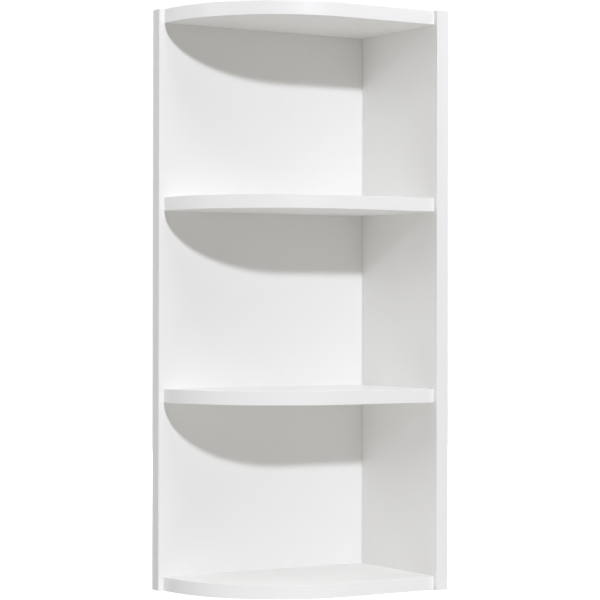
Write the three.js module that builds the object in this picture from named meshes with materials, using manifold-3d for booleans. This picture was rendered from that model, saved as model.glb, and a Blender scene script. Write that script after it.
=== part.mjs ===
// A corner shelf unit in white coated board. A back panel and a side panel meet at a right angle,
// and four boards with a rounded front corner are screwed and dowelled between them.
// Millimetres, +Z up. The back panel stands along X, the side panel along Y, and the front faces -Y.
// Pieces are drawn from the inner corner of the two panels, at the level of the base.
import * as THREE from "three";
import { mergeVertices } from "three/addons/utils/BufferGeometryUtils.js";
import Module from "manifold-3d";

const wasm = await Module();
wasm.setup();

// Overall size
const WIDTH = 300; // from the back panel's free edge to the outside of the side panel
const DEPTH = 177; // from the side panel's free edge to the outside of the back panel
const HEIGHT = 682;
const BOARD = 16; // thickness of every panel and board

// Edge bands
const FRONT_BAND = 1; // on the free edge of each panel and round the front of each board
const END_BAND = 0.5; // on the top and bottom ends of each panel

// Boards
const TIP_SETBACK = 7; // from the back panel's free edge to the tip of a board
const FRONT_SETBACK = 6.5; // from the side panel's free edge to the straight front of a board
const SHELF_PITCH = 225; // between the two middle boards, which lie evenly about half height
const CORNER_STEPS = 36; // flats that make up the rounded front corner

// Connecting screws, countersunk with a hexagon socket
const SCREW_LENGTH = 50;
const SCREW_HEAD_RADIUS = 4.8;
const SCREW_HEAD_RIM = 0.7;
const SCREW_NECK_RADIUS = 3.4;
const SCREW_NECK_LENGTH = 13; // head and smooth neck together
const SCREW_CORE_RADIUS = 2.4; // root of the thread
const SCREW_POINT_RADIUS = 1.5;
const SCREW_POINT_LENGTH = 3;
const SOCKET_ACROSS_FLATS = 4;
const SOCKET_DEPTH = 3;

// Cover caps over the screws of the side panel
const CAP_RADIUS = 6;
const CAP_THICKNESS = 1.2;
const CAP_CHAMFER = 0.3;
const CAP_PEG_RADIUS = 1.6;
const CAP_PEG_LENGTH = 2;

// Fluted dowels
const DOWEL_RADIUS = 4;
const DOWEL_LENGTH = 30;
const DOWEL_IN_PANEL = 10;
const DOWEL_CHAMFER = 1;
const DOWEL_FLUTES = 8;
const DOWEL_FLUTE_DEPTH = 0.35;
const DOWEL_BORE_SPARE = 1; // left beyond each end of a dowel for glue

// Places of the fixings
const BACK_SCREW_FROM_CORNER = 60;
const BACK_SCREW_FROM_TIP = 47;
const SIDE_SCREW_FROM_FRONT = 30;
const SIDE_DOWEL_FROM_CORNER = 28;
const CORNER_SCREW_FROM_END = 80; // the third corner screw is at half height
const CORNER_DOWEL_FROM_END = 200;

// Keyhole hanger plates, let into the outside of the back panel
const HANGER_WIDTH = 18;
const HANGER_LENGTH = 50;
const HANGER_THICKNESS = 2;
const HANGER_FROM_SIDE = 45;
const HANGER_FROM_TOP = 46;
const HANGER_SCREW_SPACING = 38;
const KEYHOLE_RADIUS = 4.6;
const KEYHOLE_SLOT_RADIUS = 2.6;
const KEYHOLE_RISE = 11; // from the centre of the round hole up to the top of the slot
const KEYHOLE_HOLLOW_MARGIN = 2; // all round the keyhole, behind the plate
const KEYHOLE_HOLLOW_DEPTH = 9;

// Wood screws of the hanger plates, countersunk with a cross recess
const SMALL_SCREW_LENGTH = 12;
const SMALL_SCREW_HEAD_RADIUS = 3.1;
const SMALL_SCREW_HEAD_RIM = 0.3;
const SMALL_SCREW_RADIUS = 1.3;
const SMALL_SCREW_POINT_LENGTH = 3;
const CROSS_WIDTH = 0.8;
const CROSS_SPAN = 3.6;
const CROSS_DEPTH = 1.3;

const FIT = 0.3; // clearance round every piece that sits in a bore or recess
const OVERCUT = 1; // how far a cutting shape stands proud of the face it opens
const ROUND_SIDES = 12; // of bores, screws and other small round shapes
const CAP_SIDES = 24;

// Reach of each panel from the inner corner, and the outline of a board
const BACK_REACH = WIDTH - BOARD;
const SIDE_REACH = DEPTH - BOARD;
const BOARD_LENGTH = BACK_REACH - TIP_SETBACK;
const BOARD_DEPTH = SIDE_REACH - FRONT_SETBACK;
const CORNER_RADIUS = Math.min(BOARD_DEPTH, BOARD_LENGTH); // the curve takes the board's whole depth

const LEVELS = {
  bottom_board: 0,
  lower_shelf: (HEIGHT - SHELF_PITCH - BOARD) / 2,
  upper_shelf: (HEIGHT + SHELF_PITCH - BOARD) / 2,
  top_board: HEIGHT - BOARD,
};

// A place on a panel: u runs from the inner corner to the free edge, v outwards through the board and w up.
// A piece on a panel has its own +Z along v.
const BACK = {
  point: (u, v, w) => new THREE.Vector3(-u, v, w),
  turn: new THREE.Quaternion().setFromEuler(new THREE.Euler(-Math.PI / 2, 0, Math.PI)),
};
const SIDE = {
  point: (u, v, w) => new THREE.Vector3(v, -u, w),
  turn: new THREE.Quaternion().setFromEuler(new THREE.Euler(0, Math.PI / 2, 0)),
};

const FINISH = {
  coatedBoard: finish(0xf3f3f2, 0.5, 0),
  edgeBand: finish(0xf0f0f0, 0.42, 0),
  beech: finish(0xd8b888, 0.8, 0),
  zincSteel: finish(0xc4c8cb, 0.38, 0.9),
  capPlastic: finish(0xf4f4f3, 0.35, 0),
};

function finish(color, roughness, metalness) {
  return new THREE.MeshStandardMaterial({ color, roughness, metalness });
}

// Basic shapes

function block(cornerA, cornerB) {
  const low = cornerA.clone().min(cornerB);
  const high = cornerA.clone().max(cornerB);
  const geometry = new THREE.BoxGeometry();
  const position = geometry.attributes.position;
  for (let i = 0; i < position.count; i += 1) {
    const x = position.getX(i) < 0 ? low.x : high.x;
    const y = position.getY(i) < 0 ? low.y : high.y;
    const z = position.getZ(i) < 0 ? low.z : high.z;
    position.setXYZ(i, x, y, z);
  }
  return geometry;
}

function prism(shape, bottom, top) {
  const settings = { depth: top - bottom, bevelEnabled: false, curveSegments: ROUND_SIDES / 2 };
  return new THREE.ExtrudeGeometry(shape, settings).translate(0, 0, bottom);
}

// Turns a profile of radius and height, written from the bottom up, about the Z axis
function turned(profile, sides) {
  const points = profile.map(([radius, height]) => new THREE.Vector2(radius, height));
  return new THREE.LatheGeometry(points, sides).rotateX(Math.PI / 2);
}

function slotShape(radius, low, high) {
  const shape = new THREE.Shape();
  shape.absarc(0, low, radius, Math.PI, 2 * Math.PI, false);
  shape.absarc(0, high, radius, 0, Math.PI, false);
  return shape;
}

// Joining and cutting

function solidOf(geometry) {
  const bare = geometry.clone();
  bare.deleteAttribute("normal");
  bare.deleteAttribute("uv");
  const merged = mergeVertices(bare, 1e-4);
  const vertProperties = merged.attributes.position.array;
  const triVerts = new Uint32Array(merged.index.array);
  return new wasm.Manifold(new wasm.Mesh({ numProp: 3, vertProperties, triVerts }));
}

function cut(geometry, tools) {
  const solid = tools.reduce((left, tool) => left.subtract(solidOf(tool)), solidOf(geometry));
  const mesh = solid.getMesh();
  const result = new THREE.BufferGeometry();
  result.setAttribute("position", new THREE.BufferAttribute(mesh.vertProperties, 3));
  result.setIndex(new THREE.BufferAttribute(mesh.triVerts, 1));
  const faceted = result.toNonIndexed();
  faceted.computeVertexNormals();
  return faceted;
}

// Boards and their bands

// The front line of a board, set in from its finished edge: straight from the side panel, then round
function frontLine(inset) {
  const length = BOARD_LENGTH - inset;
  const depth = BOARD_DEPTH - inset;
  const radius = CORNER_RADIUS - inset;
  const points = [new THREE.Vector2(0, -depth)];
  for (let step = 0; step <= CORNER_STEPS; step += 1) {
    const angle = (step / CORNER_STEPS) * (Math.PI / 2);
    const x = radius - length - radius * Math.sin(angle);
    const y = radius - depth - radius * Math.cos(angle);
    points.push(new THREE.Vector2(x, y));
  }
  if (depth > radius) points.push(new THREE.Vector2(-length, 0));
  return points;
}

function boardCore() {
  const outline = [new THREE.Vector2(0, 0), ...frontLine(FRONT_BAND)];
  return prism(new THREE.Shape(outline), 0, BOARD);
}

function boardBand() {
  const outline = [...frontLine(0), ...frontLine(FRONT_BAND).reverse()];
  return prism(new THREE.Shape(outline), 0, BOARD);
}

// Screws, caps and dowels

function screw() {
  const profile = [
    [0, -SCREW_LENGTH],
    [SCREW_POINT_RADIUS, -SCREW_LENGTH],
    [SCREW_CORE_RADIUS, SCREW_POINT_LENGTH - SCREW_LENGTH],
    [SCREW_CORE_RADIUS, SCREW_CORE_RADIUS - SCREW_NECK_RADIUS - SCREW_NECK_LENGTH],
    [SCREW_NECK_RADIUS, -SCREW_NECK_LENGTH],
    [SCREW_NECK_RADIUS, SCREW_NECK_RADIUS - SCREW_HEAD_RADIUS - SCREW_HEAD_RIM],
    [SCREW_HEAD_RADIUS, -SCREW_HEAD_RIM],
    [SCREW_HEAD_RADIUS, 0],
    [0, 0],
  ];
  const corner = SOCKET_ACROSS_FLATS / Math.sqrt(3);
  const socket = new THREE.CylinderGeometry(corner, corner, 2 * SOCKET_DEPTH, 6);
  return cut(turned(profile, ROUND_SIDES), [socket.rotateX(Math.PI / 2)]);
}

// The bore for a screw whose head lies below the face by the depth sunk, in a recess of the radius given
function screwBore(sunk, recessRadius) {
  const neck = SCREW_NECK_RADIUS + FIT;
  const core = SCREW_CORE_RADIUS + FIT;
  const coneTop = -sunk - SCREW_HEAD_RIM - FIT;
  const profile = [
    [0, -sunk - SCREW_LENGTH - FIT],
    [core, -sunk - SCREW_LENGTH - FIT],
    [core, -BOARD],
    [neck, -BOARD],
    [neck, coneTop + SCREW_NECK_RADIUS - SCREW_HEAD_RADIUS],
    [SCREW_HEAD_RADIUS + FIT, coneTop],
    [SCREW_HEAD_RADIUS + FIT, -sunk],
    [recessRadius + FIT, -sunk],
    [recessRadius + FIT, OVERCUT],
    [0, OVERCUT],
  ];
  return turned(profile, ROUND_SIDES);
}

function cap() {
  const profile = [
    [0, -CAP_THICKNESS - CAP_PEG_LENGTH],
    [CAP_PEG_RADIUS, -CAP_THICKNESS - CAP_PEG_LENGTH],
    [CAP_PEG_RADIUS, -CAP_THICKNESS],
    [CAP_RADIUS, -CAP_THICKNESS],
    [CAP_RADIUS, -CAP_CHAMFER],
    [CAP_RADIUS - CAP_CHAMFER, 0],
    [0, 0],
  ];
  return turned(profile, CAP_SIDES);
}

// A dowel across the joint face at z = 0, with its shorter end in the panel, towards +Z
function dowel() {
  const points = [];
  const perFlute = 2;
  for (let step = 0; step < DOWEL_FLUTES * perFlute; step += 1) {
    const angle = (step / (DOWEL_FLUTES * perFlute)) * 2 * Math.PI;
    const radius = DOWEL_RADIUS - DOWEL_CHAMFER - (step % perFlute === 0 ? DOWEL_FLUTE_DEPTH : 0);
    points.push(new THREE.Vector2(radius * Math.cos(angle), radius * Math.sin(angle)));
  }
  const geometry = new THREE.ExtrudeGeometry(new THREE.Shape(points), {
    depth: DOWEL_LENGTH - 2 * DOWEL_CHAMFER,
    bevelThickness: DOWEL_CHAMFER,
    bevelSize: DOWEL_CHAMFER,
    bevelSegments: 1,
  });
  return geometry.translate(0, 0, DOWEL_IN_PANEL + DOWEL_CHAMFER - DOWEL_LENGTH);
}

function dowelBore() {
  const bottom = DOWEL_IN_PANEL - DOWEL_LENGTH - DOWEL_BORE_SPARE;
  const top = DOWEL_IN_PANEL + DOWEL_BORE_SPARE;
  const radius = DOWEL_RADIUS + FIT;
  return turned([[0, bottom], [radius, bottom], [radius, top], [0, top]], ROUND_SIDES);
}

// Hangers, drawn with their outer face at z = 0 and +Y up

function keyhole(margin) {
  const round = KEYHOLE_RADIUS + margin;
  const slot = KEYHOLE_SLOT_RADIUS + margin;
  const neckAngle = Math.asin(slot / round);
  const low = -KEYHOLE_RISE / 2;
  const path = new THREE.Path();
  path.absarc(0, low, round, Math.PI / 2 + neckAngle, 2.5 * Math.PI - neckAngle, false);
  path.absarc(0, low + KEYHOLE_RISE, slot, 0, Math.PI, false);
  return path;
}

function hangerOutline(margin) {
  const radius = HANGER_WIDTH / 2;
  const end = HANGER_LENGTH / 2 - radius;
  return slotShape(radius + margin, -end, end);
}

function hangerPlate() {
  const shape = hangerOutline(0);
  shape.holes.push(keyhole(0));
  const bores = [-1, 1].map((end) => smallScrewBore().translate(0, (end * HANGER_SCREW_SPACING) / 2, 0));
  return cut(prism(shape, -HANGER_THICKNESS, 0), bores);
}

function hangerRecess() {
  return prism(hangerOutline(FIT), -HANGER_THICKNESS - FIT, OVERCUT);
}

function hangerHollow() {
  const shape = new THREE.Shape(keyhole(KEYHOLE_HOLLOW_MARGIN).getPoints(ROUND_SIDES / 2));
  return prism(shape, -KEYHOLE_HOLLOW_DEPTH, OVERCUT);
}

function smallScrewProfile(grow, top) {
  const head = SMALL_SCREW_HEAD_RADIUS + grow;
  const shank = SMALL_SCREW_RADIUS + grow;
  const rim = SMALL_SCREW_HEAD_RIM + grow;
  return [
    [0, -SMALL_SCREW_LENGTH - grow],
    [shank, SMALL_SCREW_POINT_LENGTH - SMALL_SCREW_LENGTH - grow],
    [shank, shank - head - rim],
    [head, -rim],
    [head, top],
    [0, top],
  ];
}

function smallScrew() {
  const half = CROSS_SPAN / 2;
  const slit = CROSS_WIDTH / 2;
  const arms = [
    block(new THREE.Vector3(-half, -slit, -CROSS_DEPTH), new THREE.Vector3(half, slit, OVERCUT)),
    block(new THREE.Vector3(-slit, -half, -CROSS_DEPTH), new THREE.Vector3(slit, half, OVERCUT)),
  ];
  return cut(turned(smallScrewProfile(0, 0), ROUND_SIDES), arms);
}

function smallScrewBore() {
  return turned(smallScrewProfile(FIT, OVERCUT), ROUND_SIDES);
}

// Fixings: each kind says how far from the joint face its pieces and its bore are placed on a panel

const CAP_SEAT = CAP_THICKNESS + FIT;
const screwPiece = screw();
const openScrew = {
  pieces: [{ name: "screw", geometry: screwPiece, material: FINISH.zincSteel, v: BOARD }],
  bore: screwBore(0, SCREW_HEAD_RADIUS),
  boreV: BOARD,
};
const cappedScrew = {
  pieces: [
    { name: "screw", geometry: screwPiece, material: FINISH.zincSteel, v: BOARD - CAP_SEAT },
    { name: "cap", geometry: cap(), material: FINISH.capPlastic, v: BOARD },
  ],
  bore: screwBore(CAP_SEAT, CAP_RADIUS),
  boreV: BOARD,
};
const plainDowel = {
  pieces: [{ name: "dowel", geometry: dowel(), material: FINISH.beech, v: 0 }],
  bore: dowelBore(),
  boreV: 0,
};

// Two screws and a dowel from the back panel into each board, and a screw and a dowel from the side panel
const tipScrew = BOARD_LENGTH - BACK_SCREW_FROM_TIP;
const BOARD_FIXINGS = [
  { name: "back_inner", kind: openScrew, panel: BACK, u: BACK_SCREW_FROM_CORNER },
  { name: "back", kind: plainDowel, panel: BACK, u: (BACK_SCREW_FROM_CORNER + tipScrew) / 2 },
  { name: "back_outer", kind: openScrew, panel: BACK, u: tipScrew },
  { name: "side", kind: cappedScrew, panel: SIDE, u: BOARD_DEPTH - SIDE_SCREW_FROM_FRONT },
  { name: "side", kind: plainDowel, panel: SIDE, u: SIDE_DOWEL_FROM_CORNER },
].map((fixing) => ({ ...fixing, w: BOARD / 2 }));

// Three screws and two dowels from the side panel into the edge of the back panel
const CORNER_FIXINGS = [
  { name: "corner_lower", kind: cappedScrew, w: CORNER_SCREW_FROM_END },
  { name: "corner_lower", kind: plainDowel, w: CORNER_DOWEL_FROM_END },
  { name: "corner_middle", kind: cappedScrew, w: HEIGHT / 2 },
  { name: "corner_upper", kind: plainDowel, w: HEIGHT - CORNER_DOWEL_FROM_END },
  { name: "corner_upper", kind: cappedScrew, w: HEIGHT - CORNER_SCREW_FROM_END },
].map((fixing) => ({ ...fixing, panel: SIDE, u: -BOARD / 2 }));

const HANGERS = [
  { name: "left_hanger", u: BACK_REACH - HANGER_FROM_SIDE },
  { name: "right_hanger", u: HANGER_FROM_SIDE },
];

function onPanel(geometry, panel, u, v, w) {
  const matrix = new THREE.Matrix4().makeRotationFromQuaternion(panel.turn);
  matrix.setPosition(panel.point(u, v, w));
  return geometry.clone().applyMatrix4(matrix);
}

// The bore of a fixing, on a board whose underside is at the level given
function boreOf(fixing, level) {
  return onPanel(fixing.kind.bore, fixing.panel, fixing.u, fixing.kind.boreV, fixing.w + level);
}

// Assembly

function piece(name, geometry, material) {
  const mesh = new THREE.Mesh(geometry, material.clone());
  mesh.name = name;
  return mesh;
}

function fixingPieces(fixing, prefix) {
  return fixing.kind.pieces.map(({ name, geometry, material, v }) => {
    const mesh = piece(`${prefix}${fixing.name}_${name}`, geometry, material);
    mesh.position.copy(fixing.panel.point(fixing.u, v, fixing.w));
    mesh.quaternion.copy(fixing.panel.turn);
    return mesh;
  });
}

function boardGroup(name, coreGeometry, bandGeometry) {
  const group = new THREE.Group();
  group.position.z = LEVELS[name];
  group.add(piece(name, coreGeometry, FINISH.coatedBoard));
  group.add(piece(`${name}_front_band`, bandGeometry, FINISH.edgeBand));
  BOARD_FIXINGS.forEach((fixing) => group.add(...fixingPieces(fixing, `${name}_`)));
  return group;
}

// A panel from u = start to the free edge, with its bands
function panelGroup(name, { point }, start, reach, tools) {
  const edge = reach - FRONT_BAND;
  const top = HEIGHT - END_BAND;
  const core = block(point(start, 0, END_BAND), point(edge, BOARD, top));
  const frontBand = block(point(edge, 0, 0), point(reach, BOARD, HEIGHT));
  const topBand = block(point(start, 0, top), point(edge, BOARD, HEIGHT));
  const bottomBand = block(point(start, 0, 0), point(edge, BOARD, END_BAND));
  const group = new THREE.Group();
  group.add(piece(name, cut(core, tools), FINISH.coatedBoard));
  group.add(piece(`${name}_front_band`, frontBand, FINISH.edgeBand));
  group.add(piece(`${name}_top_band`, topBand, FINISH.edgeBand));
  group.add(piece(`${name}_bottom_band`, bottomBand, FINISH.edgeBand));
  return group;
}

function hangerPieces({ name, u }, plateGeometry, screwGeometry) {
  const w = HEIGHT - HANGER_FROM_TOP;
  const pieces = [piece(`${name}_plate`, plateGeometry, FINISH.zincSteel)];
  pieces[0].position.copy(BACK.point(u, BOARD, w));
  for (const [end, side] of [["lower", -1], ["upper", 1]]) {
    const mesh = piece(`${name}_${end}_screw`, screwGeometry, FINISH.zincSteel);
    mesh.position.copy(BACK.point(u, BOARD, w + (side * HANGER_SCREW_SPACING) / 2));
    pieces.push(mesh);
  }
  pieces.forEach((mesh) => mesh.quaternion.copy(BACK.turn));
  return pieces;
}

function hangerTools({ u }) {
  const w = HEIGHT - HANGER_FROM_TOP;
  const holes = [-1, 1].map((side) => smallScrewBore().translate(0, (side * HANGER_SCREW_SPACING) / 2, 0));
  const tools = [hangerRecess(), hangerHollow(), ...holes];
  return tools.map((tool) => onPanel(tool, BACK, u, BOARD, w));
}

// Every bore that opens into a panel from the boards
function boardBores(panel) {
  const fixings = BOARD_FIXINGS.filter((fixing) => fixing.panel === panel);
  return Object.values(LEVELS).flatMap((level) => fixings.map((fixing) => boreOf(fixing, level)));
}

function unit() {
  const cornerBores = CORNER_FIXINGS.map((fixing) => boreOf(fixing, 0));
  const backTools = [...boardBores(BACK), ...cornerBores, ...HANGERS.flatMap(hangerTools)];
  const sideTools = [...boardBores(SIDE), ...cornerBores];
  const group = new THREE.Group();
  group.add(panelGroup("back_panel", BACK, 0, BACK_REACH, backTools));
  group.add(panelGroup("side_panel", SIDE, -BOARD, SIDE_REACH, sideTools));

  const core = cut(boardCore(), BOARD_FIXINGS.map((fixing) => boreOf(fixing, 0)));
  const band = boardBand();
  Object.keys(LEVELS).forEach((name) => group.add(boardGroup(name, core, band)));
  CORNER_FIXINGS.forEach((fixing) => group.add(...fixingPieces(fixing, "")));

  const plate = hangerPlate();
  const plateScrew = smallScrew();
  HANGERS.forEach((hanger) => group.add(...hangerPieces(hanger, plate, plateScrew)));

  // The origin is at the middle of the base
  group.position.set(WIDTH / 2 - BOARD, DEPTH / 2 - BOARD, 0);
  return group;
}

export default unit();
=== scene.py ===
"""A white corner shelf unit, dressed round its solid model.

Lengths are metres in the frame of the solids: the unit stands on z = 0, its open front faces -Y, the
back panel stands at +Y and the side panel at +X. Sizes given in millimetres are multiplied by MM.
"""

import math

import bmesh
import bpy
from mathutils import Matrix, Vector


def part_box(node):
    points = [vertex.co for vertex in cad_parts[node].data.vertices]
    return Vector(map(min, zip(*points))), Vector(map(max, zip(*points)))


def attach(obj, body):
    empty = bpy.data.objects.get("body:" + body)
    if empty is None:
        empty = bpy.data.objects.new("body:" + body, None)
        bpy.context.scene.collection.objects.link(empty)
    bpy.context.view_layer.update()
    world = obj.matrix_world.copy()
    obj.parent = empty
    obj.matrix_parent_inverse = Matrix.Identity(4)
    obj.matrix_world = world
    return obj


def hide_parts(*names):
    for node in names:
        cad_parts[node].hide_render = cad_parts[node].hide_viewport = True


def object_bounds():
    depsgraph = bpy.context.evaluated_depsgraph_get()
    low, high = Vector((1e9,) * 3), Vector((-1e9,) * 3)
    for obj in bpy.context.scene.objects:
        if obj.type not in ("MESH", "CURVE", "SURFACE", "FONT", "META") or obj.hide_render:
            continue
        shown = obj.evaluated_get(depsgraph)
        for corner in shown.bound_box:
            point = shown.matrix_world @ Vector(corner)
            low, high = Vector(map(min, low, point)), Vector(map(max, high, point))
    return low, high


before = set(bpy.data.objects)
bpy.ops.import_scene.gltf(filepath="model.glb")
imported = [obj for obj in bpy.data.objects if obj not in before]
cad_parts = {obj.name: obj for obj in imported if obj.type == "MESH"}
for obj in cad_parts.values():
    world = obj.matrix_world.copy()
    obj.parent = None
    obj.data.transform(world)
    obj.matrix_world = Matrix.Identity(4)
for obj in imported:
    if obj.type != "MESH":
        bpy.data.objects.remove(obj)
cad_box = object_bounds()
scene = bpy.context.scene

MM = 0.001
WELD = 0.001 * MM  # points nearer than this are one

# Boards and panels, from the solids
side_low, side_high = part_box("side_panel")
back_low, back_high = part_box("back_panel")
INNER_X = side_low.x  # inside face of the side panel
INNER_Y = back_low.y  # inside face of the back panel
OUTER_X = side_high.x
OUTER_Y = back_high.y
FREE_X = cad_box[0].x  # free edge of the back panel
FREE_Y = cad_box[0].y  # free edge of the side panel
HEIGHT = cad_box[1].z
FRONT_BAND = back_low.x - FREE_X
END_BAND = back_low.z
BOARD_NAMES = ("bottom_board", "lower_shelf", "upper_shelf", "top_board")

# Edges and seams
BAND_ROUND = 0.55 * MM  # rounded outer edges of the front bands
BAND_SEAM = 0.1 * MM  # glue line between a band and its board
END_EASE = 0.15 * MM
CORNER_GAP = 0.1 * MM  # between the end of the back panel and the side panel
CORNER_EASE = 0.08 * MM
ARC_STEPS = 120

# Connecting screws and their bores
SCREW_LENGTH = 50 * MM
SCREW_HEAD = 4.8 * MM
SCREW_RIM = 0.7 * MM
SCREW_NECK = 3.4 * MM
SCREW_NECK_LENGTH = 13 * MM
SCREW_CORE = 2.4 * MM
SCREW_POINT = 1.5 * MM
SCREW_POINT_LENGTH = 3 * MM
SOCKET_FLATS = 4 * MM
SOCKET_DEPTH = 3 * MM
SOCKET_TURN = math.radians(3.75)  # keeps the socket's corners off the edges of its lead-in
SOCKET_LEAD = 0.3 * MM
SOCKET_TIP = 0.8 * MM  # the drill's point below the flat bottom
SCREW_EDGE = 0.25 * MM  # rounded edge of the head
EDGE_MIDDLE = 0.3  # share of a rounded edge's size between its middle and the faces it joins
BORE_FIT = 0.3 * MM
BOARD = OUTER_X - INNER_X
OVERCUT = 1 * MM  # a cutter's reach beyond the face that it enters
CORNER_SCREWS = ("corner_lower", "corner_middle", "corner_upper")
CORNER_DOWELS = ("corner_lower", "corner_upper")
BACK_SCREWS = ("back_inner_screw", "back_outer_screw")

# Cover caps
CAP_RADIUS = 6 * MM
CAP_THICKNESS = 1.2 * MM
CAP_PEG = 1.6 * MM
CAP_PEG_LENGTH = 2 * MM
CAP_DOME = 0.12 * MM
CAP_ROUND = 0.35 * MM
CAP_BREAK = 0.2 * MM  # chamfer round the underside
PEG_LEAD = (0.3 * MM, 0.4 * MM)  # the peg's taper, inward and up
CAP_SIDES = 64
CAP_STEPS = 5  # in the rounded rim and in the dome

# Dowel bores
DOWEL_RADIUS = 4 * MM
DOWEL_SPARE = 1 * MM

# Hanger plates and their screws
PLATE_THICKNESS = 2 * MM
KEYHOLE_ROUND = 4.6 * MM
KEYHOLE_SLOT = 2.6 * MM
KEYHOLE_RISE = 11 * MM
HOLLOW_MARGIN = 2 * MM
HOLLOW_DEPTH = 9 * MM
PLATE_EASE = 0.2 * MM
SMALL_SCREW_LENGTH = 12 * MM
SMALL_HEAD = 3.1 * MM
SMALL_RIM = 0.3 * MM
SMALL_SHANK = 1.3 * MM
SMALL_POINT = 3 * MM
SMALL_EDGE = 0.12 * MM
CROSS_SPAN = 3.6 * MM
CROSS_WIDTH = 0.8 * MM
CROSS_DEPTH = 1.3 * MM
CROSS_TAPER = (0.5, 0.6)  # what is left of the span and the width at the bottom
RECESS_LIMIT = 4 * MM  # deeper than any recess

ROUND_SIDES = 48
DRILL_SIDES = 24
SHARP_TURN = math.radians(30)  # edges that turn more than this are shaded sharp
UPRIGHT = 0.9  # least share of an upright edge's length that it rises

# Turns of a fixing: its own +Z points out of the panel it is screwed or pressed into
TURN_BACK = Matrix(((-1, 0, 0), (0, 0, 1), (0, 1, 0)))
TURN_SIDE = Matrix(((0, 0, 1), (0, 1, 0), (-1, 0, 0)))


# Shader building

def node(tree, kind, inputs=None, **settings):
    """A new node. An input given as a socket is linked, and any other value is set."""
    made = tree.nodes.new("ShaderNode" + kind)
    for key, value in settings.items():
        setattr(made, key, value)
    for key, value in (inputs or {}).items():
        if isinstance(value, bpy.types.NodeSocket):
            tree.links.new(value, made.inputs[key])
        else:
            made.inputs[key].default_value = value
    return made


def start_material(name, **values):
    """A material with one Principled shader, and its object coordinates in millimetres."""
    material = bpy.data.materials.new(name)
    material.use_nodes = True
    tree = material.node_tree
    tree.nodes.clear()
    settings = {key.replace("_", " "): value for key, value in values.items()}
    shader = node(tree, "BsdfPrincipled", settings)
    node(tree, "OutputMaterial", {"Surface": shader.outputs["BSDF"]})
    place = node(tree, "TexCoord").outputs["Object"]
    place_mm = node(tree, "VectorMath", {0: place, "Scale": 1 / MM}, operation="SCALE").outputs[0]
    return material, tree, shader, place_mm


def scaled(tree, place, size):
    """Coordinates in which one unit is the size given, in millimetres along x, y and z."""
    factors = tuple(1 / s for s in size)
    return node(tree, "VectorMath", {0: place, 1: factors}, operation="MULTIPLY").outputs[0]


def noise(tree, place, size, detail=2.0, roughness=0.5):
    """Soft noise with lumps of the size given in millimetres."""
    vector = scaled(tree, place, size)
    values = {"Vector": vector, "Scale": 1.0, "Detail": detail, "Roughness": roughness}
    return node(tree, "TexNoise", values).outputs["Fac"]


def cells(tree, place, size, feature="F1", output="Color"):
    """Irregular cells of the size given in millimetres."""
    values = {"Vector": scaled(tree, place, size), "Scale": 1.0, "Randomness": 1.0}
    return node(tree, "TexVoronoi", values, feature=feature).outputs[output]


def spread(tree, value, low, high):
    """The value's middle range spread from low to high."""
    values = {"Value": value, "From Min": 0.3, "From Max": 0.7, "To Min": low, "To Max": high}
    return node(tree, "MapRange", values).outputs[0]


def ramp(tree, value, *stops):
    """Colours along a value, from stops of (position, colour)."""
    made = node(tree, "ValToRGB", {"Fac": value})
    elements = made.color_ramp.elements
    while len(elements) < len(stops):
        elements.new(0.5)
    for element, (position, color) in zip(elements, stops):
        element.position = position
        element.color = (*color, 1)
    return made.outputs["Color"]


def blend(tree, factor, first, second, mode="MIX"):
    """Two colours mixed. The node's colour sockets are 6 and 7."""
    made = node(tree, "Mix", data_type="RGBA", blend_type=mode)
    for index, value in ((0, factor), (6, first), (7, second)):
        if isinstance(value, bpy.types.NodeSocket):
            tree.links.new(value, made.inputs[index])
        else:
            made.inputs[index].default_value = value if index == 0 else (*value, 1)
    return made.outputs[2]


def add(tree, first, second, weight=1.0):
    """first + second x weight."""
    return node(tree, "Math", {0: second, 1: weight, 2: first}, operation="MULTIPLY_ADD").outputs[0]


def bump(tree, shader, height, depth_mm):
    """Relief on the shader's surface, with its depth in millimetres."""
    made = node(tree, "Bump", {"Height": height, "Distance": depth_mm * MM, "Strength": 1.0})
    tree.links.new(made.outputs[0], shader.inputs["Normal"])


def tinted(color, factor):
    return tuple(channel * factor for channel in color)


# Materials

WHITE_FACE = (0.935, 0.929, 0.91)
WHITE_BAND = (0.94, 0.934, 0.924)
WHITE_CAP = (0.9, 0.9, 0.892)


def coated_board():
    """White resin coating with the faint pebbled grain of its press plate."""
    material, tree, shader, place = start_material("white_coating", IOR=1.5)
    cloud = noise(tree, place, (70, 70, 70), 3, 0.6)
    grain = noise(tree, place, (0.9, 0.9, 0.9), 3, 0.55)
    pebble = cells(tree, place, (1.6, 1.6, 1.6), "SMOOTH_F1", "Distance")
    shade = ramp(tree, cloud, (0.3, tinted(WHITE_FACE, 0.992)), (0.7, tinted(WHITE_FACE, 1.004)))
    fleck = spread(tree, grain, 0, 1)
    color = blend(tree, fleck, tinted(WHITE_FACE, 0.985), tinted(WHITE_FACE, 1.0))
    tree.links.new(blend(tree, 0.5, shade, color), shader.inputs["Base Color"])
    tree.links.new(spread(tree, grain, 0.37, 0.47), shader.inputs["Roughness"])
    bump(tree, shader, add(tree, grain, pebble, 0.8), 0.014)
    return material


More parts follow.
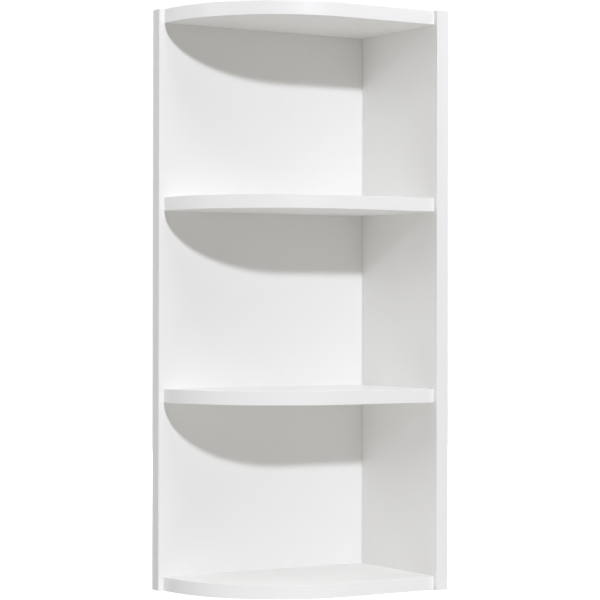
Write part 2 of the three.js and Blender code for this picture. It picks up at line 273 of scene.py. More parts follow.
def band_plastic(name, run):
    """White plastic banding, with faint drawn lines along the direction in which run is long."""
    material, tree, shader, place = start_material(name, IOR=1.49)
    lines = noise(tree, place, run, 2, 0.5)
    cloud = noise(tree, place, (45, 45, 45), 2, 0.5)
    shade = ramp(tree, cloud, (0.3, tinted(WHITE_BAND, 0.99)), (0.7, tinted(WHITE_BAND, 1.004)))
    streak = spread(tree, lines, 0, 1)
    drawn = blend(tree, streak, tinted(WHITE_BAND, 0.985), tinted(WHITE_BAND, 1.0))
    tree.links.new(blend(tree, 0.5, shade, drawn), shader.inputs["Base Color"])
    tree.links.new(spread(tree, lines, 0.33, 0.43), shader.inputs["Roughness"])
    bump(tree, shader, lines, 0.006)
    return material


def chipboard():
    """The raw core of the board: pressed wood chips, with pale flakes and dark specks."""
    material, tree, shader, place = start_material("raw_chipboard", IOR=1.45, Roughness=0.88)
    chip_size = (2.6, 2.6, 1.3)
    chips = cells(tree, place, chip_size)
    fine = cells(tree, place, (0.9, 0.9, 0.5))
    dust = noise(tree, place, (0.35, 0.35, 0.35), 3, 0.7)
    chip_value = node(tree, "SeparateColor", {"Color": chips}).outputs[0]
    fine_value = node(tree, "SeparateColor", {"Color": fine}).outputs[1]
    large = ramp(
        tree, chip_value,
        (0.0, (0.36, 0.22, 0.115)), (0.45, (0.56, 0.39, 0.225)), (1.0, (0.74, 0.58, 0.385)),
    )
    small = ramp(
        tree, fine_value,
        (0.0, (0.27, 0.155, 0.075)), (0.5, (0.6, 0.43, 0.26)), (1.0, (0.78, 0.64, 0.44)),
    )
    wood = blend(tree, 0.5, large, small)
    worn = blend(tree, spread(tree, dust, 0.5, 0.0), wood, (0.3, 0.17, 0.09), "MULTIPLY")
    tree.links.new(worn, shader.inputs["Base Color"])
    edges = cells(tree, place, chip_size, "DISTANCE_TO_EDGE", "Distance")
    bump(tree, shader, add(tree, dust, edges, 1.2), 0.22)
    return material


def beech(name, run):
    """Beech, with its grain and short rays along the direction in which run is long."""
    material, tree, shader, place = start_material(name, IOR=1.45, Roughness=0.62)
    grain = noise(tree, place, run, 4, 0.6)
    rays = cells(tree, place, tuple(r * 0.4 for r in run), "F1", "Distance")
    wood = ramp(
        tree, grain,
        (0.3, (0.52, 0.33, 0.18)), (0.55, (0.66, 0.47, 0.29)), (0.75, (0.73, 0.55, 0.36)),
    )
    dark = ramp(tree, rays, (0.05, (0.42, 0.25, 0.13)), (0.22, (1.0, 1.0, 1.0)))
    tree.links.new(blend(tree, 0.5, wood, dark, "MULTIPLY"), shader.inputs["Base Color"])
    bump(tree, shader, grain, 0.08)
    return material


def zinc_steel():
    """Bright zinc plating, slightly clouded."""
    material, tree, shader, place = start_material("zinc_plating", Metallic=1.0, IOR=2.2)
    cloud = noise(tree, place, (2.2, 2.2, 2.2), 4, 0.6)
    scratches = noise(tree, place, (0.12, 0.9, 0.9), 2, 0.5)
    tone = ramp(
        tree, cloud,
        (0.3, (0.56, 0.58, 0.6)), (0.52, (0.68, 0.69, 0.7)), (0.75, (0.72, 0.71, 0.66)),
    )
    tree.links.new(tone, shader.inputs["Base Color"])
    tree.links.new(spread(tree, cloud, 0.24, 0.4), shader.inputs["Roughness"])
    bump(tree, shader, add(tree, cloud, scratches, 0.6), 0.012)
    return material


def painted_shade_recess_steel():
    """Painted shade: zinc plating darkened and dulled to stand for the shade at the bottom of a recess.
    """
    material, tree, shader, place = start_material("zinc_recess_painted_shade", Metallic=1.0, IOR=2.2)
    cloud = noise(tree, place, (0.8, 0.8, 0.8), 3, 0.6)
    tone = ramp(tree, cloud, (0.3, (0.11, 0.11, 0.115)), (0.7, (0.2, 0.2, 0.205)))
    tree.links.new(tone, shader.inputs["Base Color"])
    tree.links.new(spread(tree, cloud, 0.5, 0.65), shader.inputs["Roughness"])
    bump(tree, shader, cloud, 0.02)
    return material


def galvanised():
    """Sheet steel with the crystal pattern of hot zinc."""
    material, tree, shader, place = start_material("galvanised_sheet", Metallic=1.0, IOR=2.2)
    crystals = node(tree, "SeparateColor", {"Color": cells(tree, place, (3.0, 3.0, 3.0))}).outputs[0]
    feathers = noise(tree, place, (0.5, 0.5, 2.0), 3, 0.6)
    tone = ramp(
        tree, crystals,
        (0.0, (0.52, 0.54, 0.56)), (0.5, (0.58, 0.6, 0.62)), (1.0, (0.64, 0.66, 0.67)),
    )
    feathered = blend(tree, spread(tree, feathers, 0.0, 0.35), tone, (0.42, 0.43, 0.45))
    tree.links.new(feathered, shader.inputs["Base Color"])
    tree.links.new(spread(tree, crystals, 0.38, 0.52), shader.inputs["Roughness"])
    bump(tree, shader, feathers, 0.01)
    return material


def cap_plastic():
    """Moulded white plastic with a fine spark-eroded grain."""
    material, tree, shader, place = start_material("cap_plastic", IOR=1.49)
    grain = noise(tree, place, (0.3, 0.3, 0.3), 2, 0.5)
    cloud = noise(tree, place, (5, 5, 5), 2, 0.5)
    color = ramp(tree, cloud, (0.3, tinted(WHITE_CAP, 0.985)), (0.7, tinted(WHITE_CAP, 1.0)))
    tree.links.new(color, shader.inputs["Base Color"])
    tree.links.new(spread(tree, grain, 0.3, 0.42), shader.inputs["Roughness"])
    bump(tree, shader, grain, 0.01)
    return material


def pale_floor():
    """A white floor that glows a little, so that it meets the white behind it without a line."""
    material, tree, shader, place = start_material("pale_floor", Roughness=0.8)
    cloud = noise(tree, place, (400, 400, 400), 2, 0.5)
    color = ramp(tree, cloud, (0.3, (0.3, 0.3, 0.3)), (0.7, (0.31, 0.31, 0.31)))
    tree.links.new(color, shader.inputs["Base Color"])
    shader.inputs["Emission Color"].default_value = (1, 1, 1, 1)
    shader.inputs["Emission Strength"].default_value = FLOOR_GLOW
    return material


# Shapes in mesh code

def closed(bm):
    """The same shape with near points welded and every face turned outward."""
    bmesh.ops.remove_doubles(bm, verts=bm.verts, dist=WELD)
    bmesh.ops.recalc_face_normals(bm, faces=bm.faces)
    return bm


def carried(stations, profile):
    """A closed solid: a profile of (inward, up) points, carried along stations of (point, outward)."""
    bm = bmesh.new()
    rings = []
    for point, outward in stations:
        ring = []
        for inward, up in profile:
            place = (point.x - outward.x * inward, point.y - outward.y * inward, up)
            ring.append(bm.verts.new(place))
        rings.append(ring)
    count = len(profile)
    for ring, after in zip(rings, rings[1:]):
        for i in range(count):
            j = (i + 1) % count
            bm.faces.new((ring[i], ring[j], after[j], after[i]))
    bm.faces.new(rings[0])
    bm.faces.new(rings[-1])
    return closed(bm)


def prism(outline, low, high):
    """A closed solid between two levels from an outline of (x, y) points."""
    bm = bmesh.new()
    floor = [bm.verts.new((x, y, low)) for x, y in outline]
    roof = [bm.verts.new((x, y, high)) for x, y in outline]
    count = len(outline)
    for i in range(count):
        j = (i + 1) % count
        bm.faces.new((floor[i], floor[j], roof[j], roof[i]))
    bm.faces.new(floor)
    bm.faces.new(roof)
    return closed(bm)


def turned(profile, sides=ROUND_SIDES):
    """A closed solid of (radius, height) points turned about Z. The first and last lie on the axis."""
    bm = bmesh.new()
    low = bm.verts.new((0, 0, profile[0][1]))
    high = bm.verts.new((0, 0, profile[-1][1]))
    rings = []
    for radius, height in profile[1:-1]:
        ring = []
        for i in range(sides):
            a = 2 * math.pi * i / sides
            ring.append(bm.verts.new((radius * math.cos(a), radius * math.sin(a), height)))
        rings.append(ring)
    for i in range(sides):
        j = (i + 1) % sides
        bm.faces.new((low, rings[0][j], rings[0][i]))
        bm.faces.new((high, rings[-1][i], rings[-1][j]))
        for ring, after in zip(rings, rings[1:]):
            bm.faces.new((ring[i], ring[j], after[j], after[i]))
    return closed(bm)


def box(low, high):
    bm = bmesh.new()
    bmesh.ops.create_cube(bm, size=1)
    for vert in bm.verts:
        vert.co = [high[k] if vert.co[k] > 0 else low[k] for k in range(3)]
    return closed(bm)


def ease(bm, amount, segments, chosen):
    """Rounds the edges for which chosen(middle, direction) is true."""
    edges = []
    for edge in bm.edges:
        start, end = (vert.co for vert in edge.verts)
        if chosen((start + end) / 2, (end - start).normalized()):
            edges.append(edge)
    settings = {"offset": amount, "offset_type": "OFFSET", "segments": segments, "profile": 0.5}
    bmesh.ops.bevel(bm, geom=edges, affect="EDGES", clamp_overlap=True, **settings)
    return bm


def near(value, target):
    return abs(value - target) < WELD


def upright_at(axis, level):
    """The test for upright edges at a level along an axis."""
    return lambda middle, along: near(middle[axis], level) and abs(along.z) > UPRIGHT


def level_at(*heights):
    """The test for edges that lie at one of the heights."""
    return lambda middle, along: any(near(middle.z, height) for height in heights)


def moved(bm, matrix):
    bmesh.ops.transform(bm, matrix=matrix, verts=bm.verts)
    return closed(bm)


def joined(shapes):
    """Several shapes in one mesh. The shapes given are used up."""
    whole = bmesh.new()
    for shape in shapes:
        mesh = bpy.data.meshes.new("part")
        shape.to_mesh(mesh)
        shape.free()
        whole.from_mesh(mesh)
        bpy.data.meshes.remove(mesh)
    return whole


def copy_of(bm):
    mesh = bpy.data.meshes.new("copy")
    bm.to_mesh(mesh)
    made = bmesh.new()
    made.from_mesh(mesh)
    bpy.data.meshes.remove(mesh)
    return made


def helper(bm):
    mesh = bpy.data.meshes.new("helper")
    bm.to_mesh(mesh)
    bm.free()
    obj = bpy.data.objects.new("helper", mesh)
    scene.collection.objects.link(obj)
    return obj


def carve(bm, tools):
    """The closed shape bm without the closed shapes in tools."""
    body = helper(bm)
    cutter = helper(joined(tools))
    cut = body.modifiers.new("cut", "BOOLEAN")
    cut.operation = "DIFFERENCE"
    cut.solver = "EXACT"
    cut.use_self = True
    cut.object = cutter
    graph = bpy.context.evaluated_depsgraph_get()
    mesh = bpy.data.meshes.new_from_object(body.evaluated_get(graph))
    result = bmesh.new()
    result.from_mesh(mesh)
    bpy.data.meshes.remove(mesh)
    for obj in (body, cutter):
        data = obj.data
        bpy.data.objects.remove(obj)
        bpy.data.meshes.remove(data)
    return closed(result)


def piece(name, bm, materials, nodes, is_raw=None):
    """A piece of the unit that stands for CAD nodes. Faces for which is_raw is true take material 1."""
    if is_raw:
        for face in bm.faces:
            face.material_index = int(is_raw(face))
    mesh = bpy.data.meshes.new(name)
    bm.to_mesh(mesh)
    bm.free()
    for material in materials:
        mesh.materials.append(material)
    mesh.shade_smooth()
    mesh.set_sharp_from_angle(angle=SHARP_TURN)
    obj = bpy.data.objects.new(name, mesh)
    scene.collection.objects.link(obj)
    even = obj.modifiers.new("even_normals", "WEIGHTED_NORMAL")
    even.keep_sharp = True
    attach(obj, "root")
    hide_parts(*nodes)
    return obj


# Fixings, each drawn with the face it is driven into at z = 0 and its length below

def screw_profile(grow=0.0, sunk=0.0):
    """Half section of a connecting screw up to its head's rim, or of a bore larger by grow."""
    head = SCREW_HEAD + grow
    neck = SCREW_NECK + grow
    core = SCREW_CORE + grow
    cone = -sunk - SCREW_RIM - grow
    return [
        (0, -sunk - SCREW_LENGTH - grow),
        (SCREW_POINT + grow, -sunk - SCREW_LENGTH - grow),
        (core, -sunk + SCREW_POINT_LENGTH - SCREW_LENGTH),
        (core, -sunk + core - neck - SCREW_NECK_LENGTH),
        (neck, -sunk - SCREW_NECK_LENGTH),
        (neck, cone + neck - head),
        (head, cone),
    ]


def mark_painted_shade(bm, radius, depth):
    """Gives the second material, a painted shade, to the faces of a recess: within the radius and below
    the depth.
    """
    for face in bm.faces:
        middle = face.calc_center_median()
        if math.hypot(middle.x, middle.y) < radius and -RECESS_LIMIT < middle.z < -depth:
            face.material_index = 1
    return bm


def connecting_screw():
    """A countersunk connecting screw with a hexagon socket."""
    edge = SCREW_EDGE
    lip = SOCKET_LEAD
    corner = SOCKET_FLATS / math.sqrt(3)
    profile = screw_profile()
    profile += [(SCREW_HEAD, -edge), (SCREW_HEAD - edge * EDGE_MIDDLE, -edge * EDGE_MIDDLE)]
    profile += [(SCREW_HEAD - edge, 0), (0, 0)]
    socket_end = -SOCKET_DEPTH
    angles = [math.radians(60 * k) + SOCKET_TURN for k in range(6)]
    hexagon = [(corner * math.cos(a), corner * math.sin(a)) for a in angles]
    socket = prism(hexagon, socket_end, OVERCUT)
    point = [(0, socket_end - SOCKET_TIP), (SOCKET_FLATS / 2 - lip, socket_end + lip)]
    drill = turned(point + [(0, socket_end + 2 * lip)], DRILL_SIDES)
    lead = turned([(0, -lip), (corner - lip / 2, -lip), (corner + 2 * lip, OVERCUT), (0, OVERCUT)])
    return mark_painted_shade(carve(turned(profile), [socket, drill, lead]), corner + lip, lip)


def screw_bore(sunk, recess):
    """A bore for a screw whose head lies sunk, with a seat of the radius recess above it, if any."""
    profile = screw_profile(BORE_FIT, sunk)
    profile += [(SCREW_HEAD + BORE_FIT, -sunk)]
    if recess:
        profile += [(recess + BORE_FIT, -sunk)]
    profile += [(profile[-1][0], OVERCUT), (0, OVERCUT)]
    return turned(profile)


def cover_cap():
    """A flush cap with a faint dome, a rounded rim and a peg that grips the screw's socket."""
    rim = CAP_RADIUS
    profile = [
        (0, -CAP_THICKNESS - CAP_PEG_LENGTH),
        (CAP_PEG - PEG_LEAD[0], -CAP_THICKNESS - CAP_PEG_LENGTH),
        (CAP_PEG, -CAP_THICKNESS - CAP_PEG_LENGTH + PEG_LEAD[1]),
        (CAP_PEG, -CAP_THICKNESS),
        (rim - CAP_BREAK, -CAP_THICKNESS),
        (rim, -CAP_THICKNESS + CAP_BREAK),
    ]
    rounding = CAP_ROUND
    shoulder = -CAP_DOME
    for k in range(CAP_STEPS + 1):
        a = math.radians(90 * k / CAP_STEPS)
        profile.append((rim - rounding * (1 - math.cos(a)), shoulder - rounding * (1 - math.sin(a))))
    for k in range(1, CAP_STEPS + 1):
        t = k / (CAP_STEPS + 1)
        profile.append(((rim - rounding) * (1 - t), -CAP_DOME * (1 - t) ** 2))
    profile.append((0, 0))
    return turned(profile, CAP_SIDES)


def small_profile(grow=0.0):
    """Half section of a small screw up to its head's rim, or of a bore larger by grow."""
    head = SMALL_HEAD + grow
    shank = SMALL_SHANK + grow
    rim = SMALL_RIM + grow
    return [
        (0, -SMALL_SCREW_LENGTH - grow),
        (shank, SMALL_POINT - SMALL_SCREW_LENGTH - grow),
        (shank, shank - head - rim),
        (head, -rim),
    ]


def small_screw():
    """A countersunk wood screw with a tapered cross recess."""
    edge = SMALL_EDGE
    body = turned(small_profile() + [(SMALL_HEAD, -edge), (SMALL_HEAD - edge, 0), (0, 0)])
    low = (-CROSS_SPAN / 2, -CROSS_WIDTH / 2, -CROSS_DEPTH)
    high = (CROSS_SPAN / 2, CROSS_WIDTH / 2, OVERCUT)
    arms = []
    for turn in (0, 90):
        arm = box(low, high)
        for vert in arm.verts:
            if vert.co.z < 0:
                vert.co.x *= CROSS_TAPER[0]
                vert.co.y *= CROSS_TAPER[1]
        arms.append(moved(arm, Matrix.Rotation(math.radians(45 + turn), 4, "Z")))
    return mark_painted_shade(carve(body, arms), CROSS_SPAN / 2, edge)


def small_bore():
    head = SMALL_HEAD + BORE_FIT
    return turned(small_profile(BORE_FIT) + [(head, OVERCUT), (0, OVERCUT)])


def arc(centre_y, radius, start, end, steps=ROUND_SIDES):
    """Points of an arc about (0, centre_y), between two angles in degrees."""
    angles = [math.radians(start + (end - start) * k / steps) for k in range(steps + 1)]
    return [(radius * math.cos(a), centre_y + radius * math.sin(a)) for a in angles]


def keyhole_outline(margin):
    """A round entry with a slot above it, larger by the margin all round."""
    round_radius = KEYHOLE_ROUND + margin
    slot_radius = KEYHOLE_SLOT + margin
    neck = math.degrees(math.asin(slot_radius / round_radius))
    low = -KEYHOLE_RISE / 2
    lower = arc(low, round_radius, 90 + neck, 450 - neck)
    return lower + arc(low + KEYHOLE_RISE, slot_radius, 0, 180)


def plate_outline(width, length, margin=0.0):
    radius = width / 2
    end = length / 2 - radius
    return arc(-end, radius + margin, 180, 360) + arc(end, radius + margin, 0, 180)


def axis_of(turn):
    """The axis, 0 for x and 1 for y, along which fixings with this turn lie."""
    return 1 if turn is TURN_BACK else 0


def seat(node_name, turn):
    """Where a fixing's head or outer face lies: in the middle of its CAD node, at the outer end."""
    low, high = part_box(node_name)
    place = (low + high) / 2
    axis = axis_of(turn)
    place[axis] = high[axis]
    return Matrix.Translation(place) @ turn.to_4x4()


# Boards

BOARD_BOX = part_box("bottom_board_front_band")
TIP_X = BOARD_BOX[0].x
FRONT_LINE = BOARD_BOX[0].y
CURVE = INNER_Y - FRONT_LINE  # radius of the round front corner, which takes the board's whole depth
CURVE_X = TIP_X + CURVE


def front_stations():
    """The front line of a board, from the side panel round to the back panel."""
    ahead = Vector((0, -1))
    stations = [(Vector((INNER_X, FRONT_LINE)), ahead)]
    for step in range(ARC_STEPS + 1):
        a = math.pi / 2 * step / ARC_STEPS
        outward = Vector((-math.sin(a), -math.cos(a)))
        stations.append((Vector((CURVE_X, INNER_Y)) + outward * CURVE, outward))
    return stations


def rounded_corner(up, toward_top, steps=5):
    """Points of a quarter round at an outer corner of a band's section, from its face to its end."""
    centre = up - toward_top * BAND_ROUND
    points = []
    for k in range(steps + 1):
        a = math.radians(90 * k / steps)
        inward = BAND_ROUND - BAND_ROUND * math.cos(a)
        points.append((inward, centre + toward_top * BAND_ROUND * math.sin(a)))
    return points


def band_profile(low, high, thickness):
    """Section of a front band: round outer corners, and inside a chamfer that leaves the glue line."""
    top = rounded_corner(high, 1)
    bottom = rounded_corner(low, -1)
    inner = [
        (thickness - BAND_SEAM, high),
        (thickness, high - BAND_SEAM),
        (thickness, low + BAND_SEAM),
        (thickness - BAND_SEAM, low),
    ]
    return top + inner + list(reversed(bottom))


def board_bores(name):
    tools = []
    for fixing in BACK_SCREWS:
        tools.append(moved(screw_bore(0, 0), seat(f"{name}_{fixing}", TURN_BACK)))
    tools.append(moved(screw_bore(0, 0), seat(f"{name}_side_screw", TURN_SIDE)))
    for side, turn in (("back", TURN_BACK), ("side", TURN_SIDE)):
        tools.append(dowel_bore(f"{name}_{side}_dowel", turn))
    return tools


def dowel_bore(node_name, turn):
    low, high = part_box(node_name)
    axis = axis_of(turn)
    length = high[axis] - low[axis] + 2 * DOWEL_SPARE
    radius = DOWEL_RADIUS + BORE_FIT
    bore = turned([(0, -length), (radius, -length), (radius, 0), (0, 0)])
    place = seat(node_name, turn)
    place.translation[axis] += DOWEL_SPARE
    return moved(bore, place)


def bare_unless(axis, *levels):
    """The test for faces of bare core: those whose middle lies at none of the levels along the axis."""
    def is_raw(face):
        place = face.calc_center_median()[axis]
        return not any(near(place, level) for level in levels)

    return is_raw


def make_boards():
    """Four boards alike, drilled where the fixings of the first are, each with its own band."""
    stations = front_stations()
    inner = [point - outward * FRONT_BAND for point, outward in stations]
    outline = [(INNER_X, INNER_Y)] + [(point.x, point.y) for point in inner]
    drilled = carve(prism(outline, 0, BOARD), board_bores(BOARD_NAMES[0]))
    for name in BOARD_NAMES:
        low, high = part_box(f"{name}_front_band")
        core = moved(copy_of(drilled), Matrix.Translation((0, 0, low.z)))
        is_raw = bare_unless(2, low.z, high.z)
        piece(f"{name}_core", core, [COATING, CHIPBOARD], [name], is_raw)
        band = carried(stations, band_profile(low.z, high.z, FRONT_BAND))
        piece(f"{name}_round_band", band, [BAND_LEVEL], [f"{name}_front_band"])
    drilled.free()


# Panels

def side_bores():
    """Bores that enter the side panel, and run on into the boards and the end of the back panel."""
    tools = []
    for head in [f"{name}_side" for name in BOARD_NAMES] + list(CORNER_SCREWS):
        place = seat(f"{head}_screw", TURN_SIDE)
        sunk = OUTER_X - place.translation.x
        place.translation.x = OUTER_X
        tools.append(moved(screw_bore(sunk, CAP_RADIUS), place))
    for dowel in [f"{name}_side" for name in BOARD_NAMES] + list(CORNER_DOWELS):
        tools.append(dowel_bore(f"{dowel}_dowel", TURN_SIDE))
    return tools


def corner_bores():
    """Bores in the end of the back panel, from the side panel."""
    tools = []
    for head in CORNER_SCREWS:
        tools.append(moved(screw_bore(0, 0), seat(f"{head}_screw", TURN_SIDE)))
    return tools + [dowel_bore(f"{name}_dowel", TURN_SIDE) for name in CORNER_DOWELS]


def hanger_place(side):
    low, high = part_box(f"{side}_hanger_plate")
    return seat(f"{side}_hanger_plate", TURN_BACK), high.x - low.x, high.z - low.z


def hanger_tools(side):
    """Cutters for a hanger plate's recess, the hollow behind its keyhole and its screws' bores."""
    place, width, length = hanger_place(side)
    recess = prism(plate_outline(width, length, BORE_FIT), -PLATE_THICKNESS - BORE_FIT, OVERCUT)
    hollow = prism(keyhole_outline(HOLLOW_MARGIN), -HOLLOW_DEPTH, OVERCUT)
    tools = [moved(recess, place), moved(hollow, place)]
    for end in ("lower", "upper"):
        tools.append(moved(small_bore(), seat(f"{side}_hanger_{end}_screw", TURN_BACK)))
    return tools


def make_back_panel():
    end = INNER_X - CORNER_GAP
    low = (FREE_X + FRONT_BAND, INNER_Y, END_BAND)
    high = (end, OUTER_Y, HEIGHT - END_BAND)
    core = ease(box(low, high), CORNER_EASE, 2, upright_at(0, end))
    tools = []
    for name in BOARD_NAMES:
        for fixing in BACK_SCREWS:
            tools.append(moved(screw_bore(0, SCREW_HEAD), seat(f"{name}_{fixing}", TURN_BACK)))
        tools.append(dowel_bore(f"{name}_back_dowel", TURN_BACK))
    core = carve(core, tools + corner_bores())
    for side in ("left", "right"):
        for tool in hanger_tools(side):
            core = carve(core, [tool])
    is_raw = bare_unless(1, INNER_Y, OUTER_Y)
    piece("back_panel_core", core, [COATING, CHIPBOARD], ["back_panel"], is_raw)
    make_upright_band("back_panel", (FREE_X, INNER_Y, 0), (FREE_X + FRONT_BAND, OUTER_Y, HEIGHT), 0)
    for level, name in ((0, "bottom"), (HEIGHT - END_BAND, "top")):
        strip = box((FREE_X + FRONT_BAND, INNER_Y, level), (end, OUTER_Y, level + END_BAND))
        make_end_band(f"back_panel_{name}", strip, level > 0, BAND_ALONG_X)


def make_side_panel():
    low = (INNER_X, FREE_Y + FRONT_BAND, END_BAND)
    high = (OUTER_X, OUTER_Y, HEIGHT - END_BAND)
    core = ease(box(low, high), CORNER_EASE, 2, upright_at(1, OUTER_Y))
    core = carve(core, side_bores())
    is_raw = bare_unless(0, INNER_X, OUTER_X)
    piece("side_panel_core", core, [COATING, CHIPBOARD], ["side_panel"], is_raw)
    make_upright_band("side_panel", (INNER_X, FREE_Y, 0), (OUTER_X, FREE_Y + FRONT_BAND, HEIGHT), 1)
    for level, name in ((0, "bottom"), (HEIGHT - END_BAND, "top")):
        strip = box((INNER_X, FREE_Y + FRONT_BAND, level), (OUTER_X, OUTER_Y, level + END_BAND))
        make_end_band(f"side_panel_{name}", strip, level > 0, BAND_ALONG_Y)


def make_upright_band(panel, low, high, axis):
    """The band on a panel's free edge, which faces back along the axis, with a glue line behind it."""
    bm = box(low, high)
    ease(bm, BAND_ROUND, 5, upright_at(axis, low[axis]))
    ease(bm, BAND_SEAM, 1, upright_at(axis, high[axis]))
    ease(bm, END_EASE, 2, level_at(0, HEIGHT))
    piece(f"{panel}_free_edge_band", closed(bm), [BAND_UPRIGHT], [f"{panel}_front_band"])


def make_end_band(name, bm, on_top, material):
    """The band on a panel's top or bottom end, with its outer edges eased."""
    ease(bm, END_EASE, 2, level_at(HEIGHT if on_top else 0))
    piece(f"{name}_end_band", closed(bm), [material], [f"{name}_band"])


# Fixings in place

def put(shape, node_name, suffix, turn, materials):
    """A copy of a fixing where its CAD node is."""
    placed = moved(copy_of(shape), seat(node_name, turn))
    piece(f"{node_name}_{suffix}", placed, materials, [node_name])


def make_fixings():
    screw = connecting_screw()
    cap = cover_cap()
    for name in BOARD_NAMES:
        for fixing in BACK_SCREWS:
            put(screw, f"{name}_{fixing}", "turned", TURN_BACK, STEEL)
        put(screw, f"{name}_side_screw", "turned", TURN_SIDE, STEEL)
        put(cap, f"{name}_side_cap", "domed", TURN_SIDE, [CAP_WHITE])
    for name in CORNER_SCREWS:
        put(screw, f"{name}_screw", "turned", TURN_SIDE, STEEL)
        put(cap, f"{name}_cap", "domed", TURN_SIDE, [CAP_WHITE])
    small = small_screw()
    for side in ("left", "right"):
        place, width, length = hanger_place(side)
        plate = prism(plate_outline(width, length), -PLATE_THICKNESS, 0)
        ease(plate, PLATE_EASE, 2, level_at(0))
        tools = [prism(keyhole_outline(0), -PLATE_THICKNESS - OVERCUT, OVERCUT)]
        for end in ("lower", "upper"):
            offset = place.inverted() @ seat(f"{side}_hanger_{end}_screw", TURN_BACK)
            tools.append(moved(small_bore(), offset))
        plate = moved(carve(plate, tools), place)
        piece(f"{side}_hanger_plate_pressed", plate, [SHEET], [f"{side}_hanger_plate"])
        for end in ("lower", "upper"):
            put(small, f"{side}_hanger_{end}_screw", "cross", TURN_BACK, STEEL)
    for shape in (screw, cap, small):
        shape.free()


def dress_dowels():
    """The dowels keep their solids, and get beech with the grain along them."""
    for name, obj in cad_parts.items():
        if name.endswith("_dowel"):
            obj.data.materials.clear()
            obj.data.materials.append(BEECH_Y if "back" in name else BEECH_X)
            obj.data.shade_flat()


# Camera, light and floor

CAMERA_AT = Vector((-1.28126, -2.11112, 0.33018))
CAMERA_YAW = math.radians(31.2427)
CAMERA_PITCH = math.radians(0.2526)
CAMERA_ROLL = math.radians(0.1009)
FOCAL_PIXELS = 2094.48
IMAGE_PIXELS = 600
SENSOR = 36.0
CLIP = (0.1, 60)

FLOOR_GLOW = 0.93
FLOOR_SIZE = 40.0
FLOOR_DROP = 0.2 * MM  # below the unit, so that no faces coincide
WORLD_LIGHT = (0.297, 0.289, 0.27)
WORLD_WHITE = 1.015  # what the camera sees behind the unit, just over white

# name, place, what it is aimed at, size, watts, colour
LIGHTS = (
    ("key", (-0.18, -3.9, 2.24), (0, 0, 0.34), 0.24, 91.5, (0.905, 0.925, 1.0)),
    ("left_side", (-1.7, 0.05, 0.9), (0, 0, 0.4), 0.8, 5.5, (0.88, 0.91, 1.0)),
    ("left_behind", (-1.4, 1.1, 0.8), (0, 0, 0.4), 0.7, 3.9, (1.0, 1.0, 1.0)),
    ("over_front", (-0.1, -1.0, 2.2), (0, 0, 0.4), 0.8, 7.6, (1.0, 1.0, 1.0)),
    ("over_right", (1.5, -0.6, 1.5), (0, 0, 0.4), 0.8, 6.3, (0.95, 0.95, 1.0)),
    ("right", (2.2, 0.5, 0.6), (0, 0, 0.34), 1.0, 15.5, (0.97, 0.98, 1.0)),
    ("behind", (0.8, 2.3, 0.8), (0, 0, 0.34), 1.0, 25.0, (0.97, 0.98, 1.0)),
    ("low_left", (-0.9, -0.2, -0.3), (0, 0, 0.3), 0.8, 1.3, (0.9, 0.93, 1.0)),
    ("low_front", (-0.1, -0.9, -0.3), (0, 0, 0.3), 0.8, 0.4, (1.0, 1.0, 1.0)),
    ("low_under", (-0.05, -0.35, -0.5), (0, 0, 0.3), 0.5, 1.0, (0.98, 0.98, 1.0)),
)


def make_camera():
    data = bpy.data.cameras.new("camera")
    data.sensor_width = SENSOR
    data.lens = FOCAL_PIXELS / IMAGE_PIXELS * SENSOR
    data.clip_start, data.clip_end = CLIP
    camera = bpy.data.objects.new("camera", data)
    scene.collection.objects.link(camera)
    ahead = Vector((
        math.sin(CAMERA_YAW) * math.cos(CAMERA_PITCH),
        math.cos(CAMERA_YAW) * math.cos(CAMERA_PITCH),
        math.sin(CAMERA_PITCH),
    ))
    level = Vector((math.cos(CAMERA_YAW), -math.sin(CAMERA_YAW), 0))
    upright = level.cross(ahead)
    right = level * math.cos(CAMERA_ROLL) + upright * math.sin(CAMERA_ROLL)
    up = upright * math.cos(CAMERA_ROLL) - level * math.sin(CAMERA_ROLL)
    turn = Matrix((right, up, -ahead)).transposed()
    camera.matrix_world = Matrix.Translation(CAMERA_AT) @ turn.to_4x4()
    scene.camera = camera


def make_lights():
    for name, place, target, size, watts, color in LIGHTS:
        data = bpy.data.lights.new(name, "AREA")
        data.shape = "DISK"
        data.size = size
        data.energy = watts
        data.color = color
        lamp = bpy.data.objects.new(name, data)
        scene.collection.objects.link(lamp)
        lamp.location = place
        lamp.rotation_mode = "QUATERNION"
        lamp.rotation_quaternion = (Vector(target) - Vector(place)).to_track_quat("-Z", "Y")
        lamp.visible_camera = False


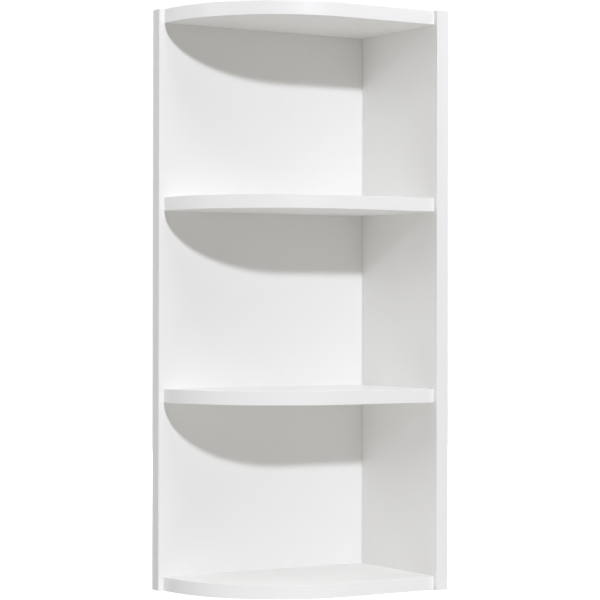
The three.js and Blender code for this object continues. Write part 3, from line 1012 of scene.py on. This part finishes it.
def make_world():
    """White behind the unit for the camera, and a dimmer even light from all round."""
    world = bpy.data.worlds.new("studio")
    scene.world = world
    world.use_nodes = True
    tree = world.node_tree
    tree.nodes.clear()
    light = node(tree, "Background", {"Color": (*WORLD_LIGHT, 1), "Strength": 1.0})
    white = node(tree, "Background", {"Color": (1, 1, 1, 1), "Strength": WORLD_WHITE})
    seen = node(tree, "LightPath").outputs["Is Camera Ray"]
    either = node(tree, "MixShader", {0: seen, 1: light.outputs[0], 2: white.outputs[0]})
    node(tree, "OutputWorld", {"Surface": either.outputs[0]})


def make_floor():
    half = FLOOR_SIZE / 2
    bm = bmesh.new()
    corners = [(-half, -half), (half, -half), (half, half), (-half, half)]
    bm.faces.new([bm.verts.new((x, y, -FLOOR_DROP)) for x, y in corners])
    mesh = bpy.data.meshes.new("floor")
    bm.to_mesh(mesh)
    bm.free()
    mesh.materials.append(pale_floor())
    floor = bpy.data.objects.new("floor", mesh)
    scene.collection.objects.link(floor)
    floor.visible_diffuse = False
    floor.visible_glossy = False
    floor.visible_shadow = False
    floor.visible_transmission = False


scene.view_settings.view_transform = "Standard"
scene.view_settings.look = "None"
scene.view_settings.exposure = 0
scene.view_settings.gamma = 1

LINE = 0.25  # width of a drawn line in the banding, in millimetres
LONG = 60  # its length
COATING = coated_board()
CHIPBOARD = chipboard()
BAND_UPRIGHT = band_plastic("white_band_upright", (LINE, LINE, LONG))
BAND_LEVEL = band_plastic("white_band_level", (LONG, LONG, LINE))
BAND_ALONG_X = band_plastic("white_band_along_x", (LONG, LINE, LINE))
BAND_ALONG_Y = band_plastic("white_band_along_y", (LINE, LONG, LINE))
FIBRE = 0.5  # width of a streak in the beech, in millimetres
FIBRE_LONG = 7
BEECH_X = beech("beech_along_x", (FIBRE_LONG, FIBRE, FIBRE))
BEECH_Y = beech("beech_along_y", (FIBRE, FIBRE_LONG, FIBRE))
# The second steel is painted shade, given to the faces inside the sockets and cross recesses.
STEEL = [zinc_steel(), painted_shade_recess_steel()]
SHEET = galvanised()
CAP_WHITE = cap_plastic()

make_camera()
make_world()
make_lights()
make_floor()
make_back_panel()
make_side_panel()
make_boards()
make_fixings()
dress_dowels()
